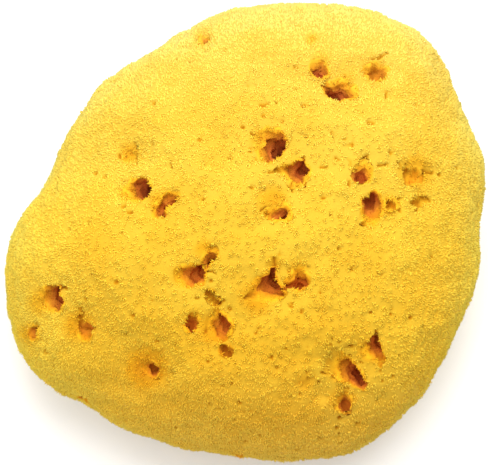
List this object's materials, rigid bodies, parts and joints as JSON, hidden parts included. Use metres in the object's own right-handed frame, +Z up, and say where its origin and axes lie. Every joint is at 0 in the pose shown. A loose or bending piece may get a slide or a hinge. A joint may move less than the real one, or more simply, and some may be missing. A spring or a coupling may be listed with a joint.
{
  "type": "sea sponge",
  "caption": "Natural bath sponge: a soft, lumpy dome with a flat cut base, pitted with irregular water-canal mouths. It soaks up and holds water for washing and wiping.",
  "frame": {"origin": "middle of the bounding box's bottom, on the flat cut base", "axes": "+Z is up out of the cut base, +X is the long way across, +Y is the upper edge of the sponge as it is seen from above"},
  "size_m": [0.1282, 0.1222, 0.064],
  "materials": {
    "sponge_fibre": "matt, fine granular fibre, bright yellow going reddish brown down in the canals"
  },
  "bodies": {
    "root": {"sponge": "sponge_fibre"}
  },
  "joints": []
}
